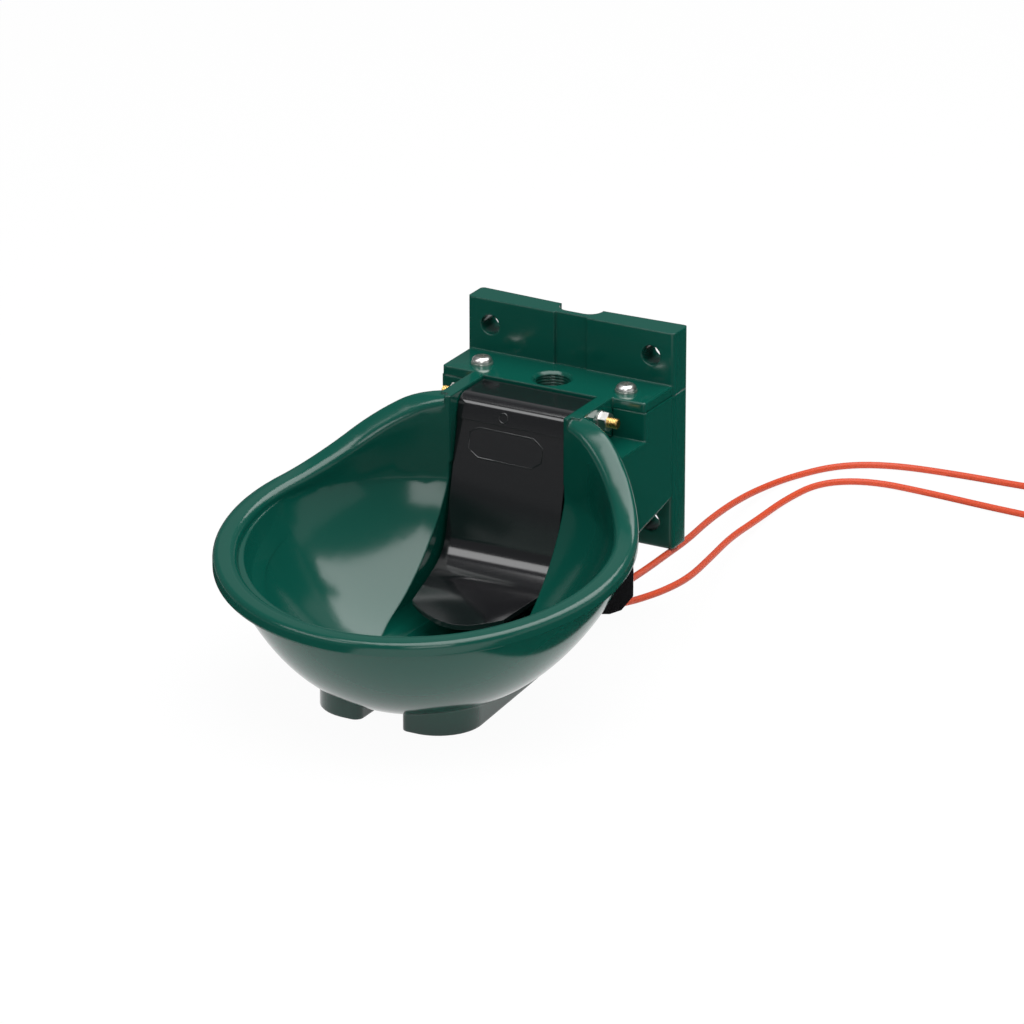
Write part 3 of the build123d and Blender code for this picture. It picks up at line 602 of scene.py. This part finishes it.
def larger(tree, first, second):
    """The larger of two values, as a node's output."""
    node = tree.nodes.new("ShaderNodeMath")
    node.operation = "MAXIMUM"
    tree.links.new(first, node.inputs[0])
    tree.links.new(second, node.inputs[1])
    return node.outputs[0]


class StageOperator(bpy.types.Operator):
    """Make the floor, the dark cards, the world, the lights and the camera"""

    bl_idname = "bowl.stage"
    bl_label = "Stage"

    def execute(self, context):
        settings = context.scene.bowl_stage
        self.floor()
        self.dark_cards()
        self.world(context)
        power = settings.softbox_brightness
        for name, azimuth, elevation, distance, size, share, roll in SOFTBOXES:
            area_light(name, azimuth, elevation, distance, size, power * share, roll)
        self.camera(context, settings)
        context.scene.view_settings.view_transform = "Standard"
        return {"FINISHED"}

    def floor(self):
        """A floor that is white to camera, glossy and transmission rays and keeps a shadow."""
        shape = bmesh.new()
        bmesh.ops.create_grid(shape, x_segments=1, y_segments=1, size=FLOOR_REACH)
        mesh = bpy.data.meshes.new("Floor")
        shape.to_mesh(mesh)
        shape.free()
        floor = bpy.data.objects.new("Floor", mesh)
        floor.location = (0.0, 0.0, FLOOR_Z)
        bpy.context.scene.collection.objects.link(floor)
        material = plain_material("Floor white", FLOOR_COLOUR, roughness=0.9)
        tree = material.node_tree
        shader = tree.nodes["Principled BSDF"]
        shader.inputs["Specular IOR Level"].default_value = 0.0
        glow = tree.nodes.new("ShaderNodeEmission")
        glow.inputs["Strength"].default_value = 1.0
        rays = tree.nodes.new("ShaderNodeLightPath")
        mirrored = larger(
            tree, rays.outputs["Is Glossy Ray"], rays.outputs["Is Transmission Ray"])
        share = tree.nodes.new("ShaderNodeMath")
        share.operation = "MULTIPLY"
        share.inputs[1].default_value = FLOOR_GLOW_SHARE
        mix = tree.nodes.new("ShaderNodeMixShader")
        tree.links.new(larger(tree, rays.outputs["Is Camera Ray"], mirrored), share.inputs[0])
        tree.links.new(share.outputs[0], mix.inputs[0])
        tree.links.new(shader.outputs[0], mix.inputs[1])
        tree.links.new(glow.outputs[0], mix.inputs[2])
        tree.links.new(mix.outputs[0], tree.nodes["Material Output"].inputs[0])
        mesh.materials.append(material)

    def dark_cards(self):
        """Black cards round the object, which only glossy rays see."""
        black = plain_material("Card black", (0.0, 0.0, 0.0), roughness=1.0)
        for name, low, high in DARK_CARDS:
            shape = bmesh.new()
            bmesh.ops.create_cube(shape, size=1.0)
            mesh = bpy.data.meshes.new(name)
            shape.to_mesh(mesh)
            shape.free()
            mesh.materials.append(black)
            card = bpy.data.objects.new(name, mesh)
            card.scale = Vector(high) - Vector(low)
            card.location = (Vector(high) + Vector(low)) / 2
            bpy.context.scene.collection.objects.link(card)
            card.visible_camera = False
            card.visible_diffuse = False
            card.visible_transmission = False
            card.visible_shadow = False

    def world(self, context):
        """Dim, even surroundings."""
        world = bpy.data.worlds.new("Studio")
        context.scene.world = world
        world.use_nodes = True
        soft = world.node_tree.nodes["Background"]
        soft.inputs["Color"].default_value = WORLD_COLOUR
        soft.inputs["Strength"].default_value = WORLD_STRENGTH

    def camera(self, context, settings):
        """The camera, placed so that its anchor falls on the anchor's pixel."""
        turn = settings.azimuth
        rise = settings.elevation
        back = Vector((sin(turn) * cos(rise), -cos(turn) * cos(rise), sin(rise)))
        right = Vector((cos(turn), sin(turn), 0.0))
        up = back.cross(right)
        scale = settings.distance / settings.focal_pixels
        across = (ANCHOR_PIXEL[0] - PICTURE_PIXELS / 2) * scale
        above = (PICTURE_PIXELS / 2 - ANCHOR_PIXEL[1]) * scale
        data = bpy.data.cameras.new("Camera")
        data.sensor_width = SENSOR_WIDTH
        data.lens = settings.focal_pixels / PICTURE_PIXELS * SENSOR_WIDTH
        data.clip_end = 50.0
        camera = bpy.data.objects.new("Camera", data)
        camera.location = (
            Vector(ANCHOR) - right * across - up * above + back * settings.distance)
        turned = Matrix((right, up, back)).transposed()
        camera.rotation_euler = turned.to_euler()
        context.scene.collection.objects.link(camera)
        context.scene.camera = camera


class BowlPanel(bpy.types.Panel):
    """Lists the bowl's settings and operators"""

    bl_idname = "VIEW3D_PT_drinking_bowl"
    bl_label = "Drinking Bowl"
    bl_space_type = "VIEW_3D"
    bl_region_type = "UI"
    bl_category = "Drinking Bowl"

    def draw(self, context):
        scene = context.scene
        groups = (
            (scene.bowl_colours, BowlColours),
            (scene.bowl_details, BowlDetails),
            (scene.bowl_stage, StageSettings),
        )
        for group, kind in groups:
            box = self.layout.box()
            for name in kind.__annotations__:
                box.prop(group, name)
        for operator in OPERATORS:
            self.layout.operator(operator.bl_idname)


GROUPS = (BowlColours, BowlDetails, StageSettings)
OPERATORS = (
    MouldingsOperator, TongueOperator, FastenersOperator, ValveOperator, CablesOperator,
    StageOperator,
)


def register():
    for kind in (*GROUPS, *OPERATORS, BowlPanel):
        bpy.utils.register_class(kind)
    bpy.types.Scene.bowl_colours = bpy.props.PointerProperty(type=BowlColours)
    bpy.types.Scene.bowl_details = bpy.props.PointerProperty(type=BowlDetails)
    bpy.types.Scene.bowl_stage = bpy.props.PointerProperty(type=StageSettings)


def unregister():
    del bpy.types.Scene.bowl_stage
    del bpy.types.Scene.bowl_details
    del bpy.types.Scene.bowl_colours
    for kind in reversed((*GROUPS, *OPERATORS, BowlPanel)):
        bpy.utils.unregister_class(kind)


def main():
    register()
    bpy.ops.bowl.mouldings()
    bpy.ops.bowl.tongue()
    bpy.ops.bowl.fasteners()
    bpy.ops.bowl.valve()
    bpy.ops.bowl.cables()
    bpy.ops.bowl.stage()


if __name__ == "__main__":
    main()
